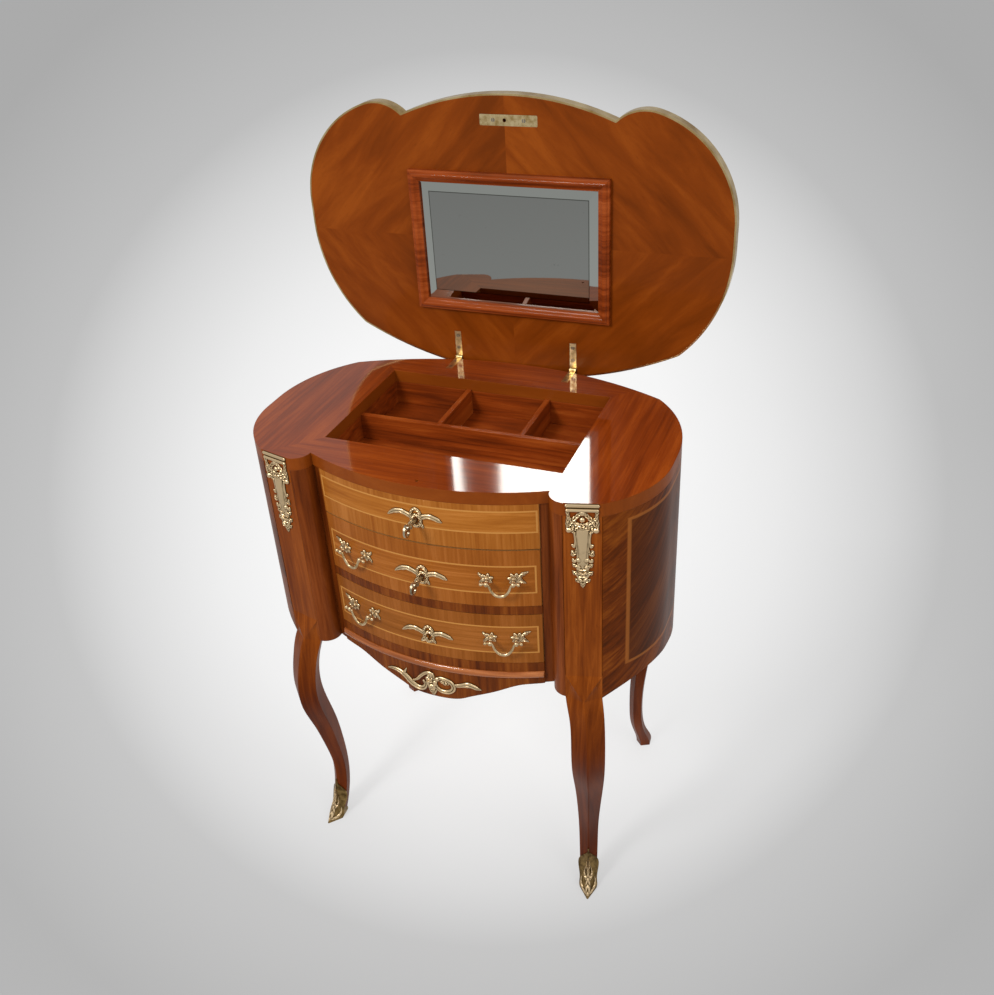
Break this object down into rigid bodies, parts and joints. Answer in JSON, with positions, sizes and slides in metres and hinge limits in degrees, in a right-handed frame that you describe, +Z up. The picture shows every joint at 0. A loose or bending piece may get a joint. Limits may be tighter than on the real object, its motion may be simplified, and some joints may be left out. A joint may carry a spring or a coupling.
{
  "type": "dressing table",
  "caption": "Dressing table with a bowed two-drawer front, lobed lifting top with a mirror, divided well and four cabriole legs.",
  "frame": {"origin": "middle of the bounding box's footprint, on the floor", "axes": "+Z up, the drawers face -Y, +X to the right of a person who faces the drawers"},
  "size_m": [0.69, 0.4605, 1.1838],
  "materials": {
    "polished_top_veneer": "polished mahogany veneer",
    "well_mahogany": "satin mahogany",
    "leg_mahogany": "polished mahogany",
    "panel_veneer": "polished quartered veneer with stringing",
    "front_veneer": "polished veneer with boxwood stringing",
    "crossbanded_rail": "polished crossbanding",
    "bead_mahogany": "polished mahogany moulding",
    "drawer_oak": "plain unpolished wood",
    "lid_veneer": "polished quartered veneer",
    "frame_mahogany": "polished mahogany moulding",
    "mirror_plate": "silvered bevelled glass",
    "edge_brass": "worn brass strip",
    "gilt_brass": "cast and chased brass with age in the hollows",
    "hinge_brass": "dull rolled brass",
    "steel_key": "worn steel"
  },
  "bodies": {
    "carcass": {"top_board": "polished_top_veneer", "well_walls": "well_mahogany", "well_floor": "well_mahogany", "well_long_divider": "well_mahogany", "well_cross_dividers": "well_mahogany", "front_leg_left": "leg_mahogany", "front_leg_right": "leg_mahogany", "back_leg_left": "leg_mahogany", "back_leg_right": "leg_mahogany", "side_panel_left": "panel_veneer", "side_panel_right": "panel_veneer", "back_panel": "panel_veneer", "front_columns": "leg_mahogany", "false_front": "front_veneer", "middle_rail": "crossbanded_rail", "lower_rail": "crossbanded_rail", "bead_moulding": "bead_mahogany", "apron": "crossbanded_rail", "bottom_board": "drawer_oak", "drawer_runners": "drawer_oak", "lid_lock_case": "hinge_brass", "top_escutcheon": "gilt_brass", "corner_mounts": "gilt_brass", "sabots": "gilt_brass", "apron_mount": "gilt_brass", "hinge_lower_leaves": "hinge_brass", "hinge_pins": "hinge_brass", "hinge_screws": "hinge_brass"},
    "lid": {"lid_board": "lid_veneer", "lid_edge_band": "edge_brass", "mirror_frame": "frame_mahogany", "mirror_glass": "mirror_plate", "strike_plate": "hinge_brass", "hinge_upper_leaves": "hinge_brass", "lid_screws": "hinge_brass"},
    "lid_lock_bolt": {"lid_lock_bolt": "steel_key"},
    "lid_key": {"lid_key": "steel_key"},
    "middle_drawer": {"middle_drawer_front": "front_veneer", "middle_drawer_sides": "drawer_oak", "middle_drawer_back": "drawer_oak", "middle_drawer_bottom": "drawer_oak", "middle_drawer_lock_case": "hinge_brass", "middle_drawer_escutcheon": "gilt_brass", "middle_drawer_handle_plates": "gilt_brass"},
    "middle_drawer_bail_left": {"middle_drawer_bail_left": "gilt_brass"},
    "middle_drawer_bail_right": {"middle_drawer_bail_right": "gilt_brass"},
    "middle_drawer_lock_bolt": {"middle_drawer_lock_bolt": "steel_key"},
    "lower_drawer": {"lower_drawer_front": "front_veneer", "lower_drawer_sides": "drawer_oak", "lower_drawer_back": "drawer_oak", "lower_drawer_bottom": "drawer_oak", "lower_drawer_lock_case": "hinge_brass", "lower_drawer_escutcheon": "gilt_brass", "lower_drawer_handle_plates": "gilt_brass"},
    "lower_drawer_bail_left": {"lower_drawer_bail_left": "gilt_brass"},
    "lower_drawer_bail_right": {"lower_drawer_bail_right": "gilt_brass"},
    "lower_drawer_lock_bolt": {"lower_drawer_lock_bolt": "steel_key"},
    "middle_drawer_key": {"middle_drawer_key": "steel_key"}
  },
  "joints": [
    {"name": "lid_hinge", "type": "hinge", "parent": "carcass", "child": "lid", "pos_m": [0, 0.21, 0.76025], "axis": [-1, 0, 0], "range_deg": [-90, 0]},
    {"name": "lid_key_turn", "type": "hinge", "parent": "carcass", "child": "lid_key", "pos_m": [0, -0.2, 0.706], "axis": [0, -1, 0], "range_deg": [0, 180]},
    {"name": "lid_bolt_slide", "type": "slide", "parent": "carcass", "child": "lid_lock_bolt", "axis": [0, 0, 1], "range_m": [0, 0.01]},
    {"name": "middle_drawer_slide", "type": "slide", "parent": "carcass", "child": "middle_drawer", "axis": [0, -1, 0], "range_m": [0, 0.215]},
    {"name": "middle_drawer_bail_left_swing", "type": "hinge", "parent": "middle_drawer", "child": "middle_drawer_bail_left", "pos_m": [-0.1175, -0.18741, 0.617], "axis": [-0.9632, 0.2689, 0], "range_deg": [0, 100]},
    {"name": "middle_drawer_bail_right_swing", "type": "hinge", "parent": "middle_drawer", "child": "middle_drawer_bail_right", "pos_m": [0.1175, -0.18741, 0.617], "axis": [-0.9632, -0.2689, 0], "range_deg": [0, 100]},
    {"name": "middle_drawer_bolt_slide", "type": "slide", "parent": "middle_drawer", "child": "middle_drawer_lock_bolt", "axis": [0, 0, 1], "range_m": [0, 0.008]},
    {"name": "lower_drawer_slide", "type": "slide", "parent": "carcass", "child": "lower_drawer", "axis": [0, -1, 0], "range_m": [0, 0.215]},
    {"name": "lower_drawer_bail_left_swing", "type": "hinge", "parent": "lower_drawer", "child": "lower_drawer_bail_left", "pos_m": [-0.1175, -0.18741, 0.51], "axis": [-0.9632, 0.2689, 0], "range_deg": [0, 100]},
    {"name": "lower_drawer_bail_right_swing", "type": "hinge", "parent": "lower_drawer", "child": "lower_drawer_bail_right", "pos_m": [0.1175, -0.18741, 0.51], "axis": [-0.9632, -0.2689, 0], "range_deg": [0, 100]},
    {"name": "lower_drawer_bolt_slide", "type": "slide", "parent": "lower_drawer", "child": "lower_drawer_lock_bolt", "axis": [0, 0, 1], "range_m": [0, 0.008]},
    {"name": "middle_drawer_key_turn", "type": "hinge", "parent": "middle_drawer", "child": "middle_drawer_key", "pos_m": [0, -0.2, 0.608], "axis": [0, -1, 0], "range_deg": [0, 180]}
  ],
  "couplings": [
    {"joint": "lid_key_turn", "follows": "lid_bolt_slide", "rad_per_m": 314.15},
    {"joint": "middle_drawer_key_turn", "follows": "middle_drawer_bolt_slide", "rad_per_m": 392.69}
  ]
}
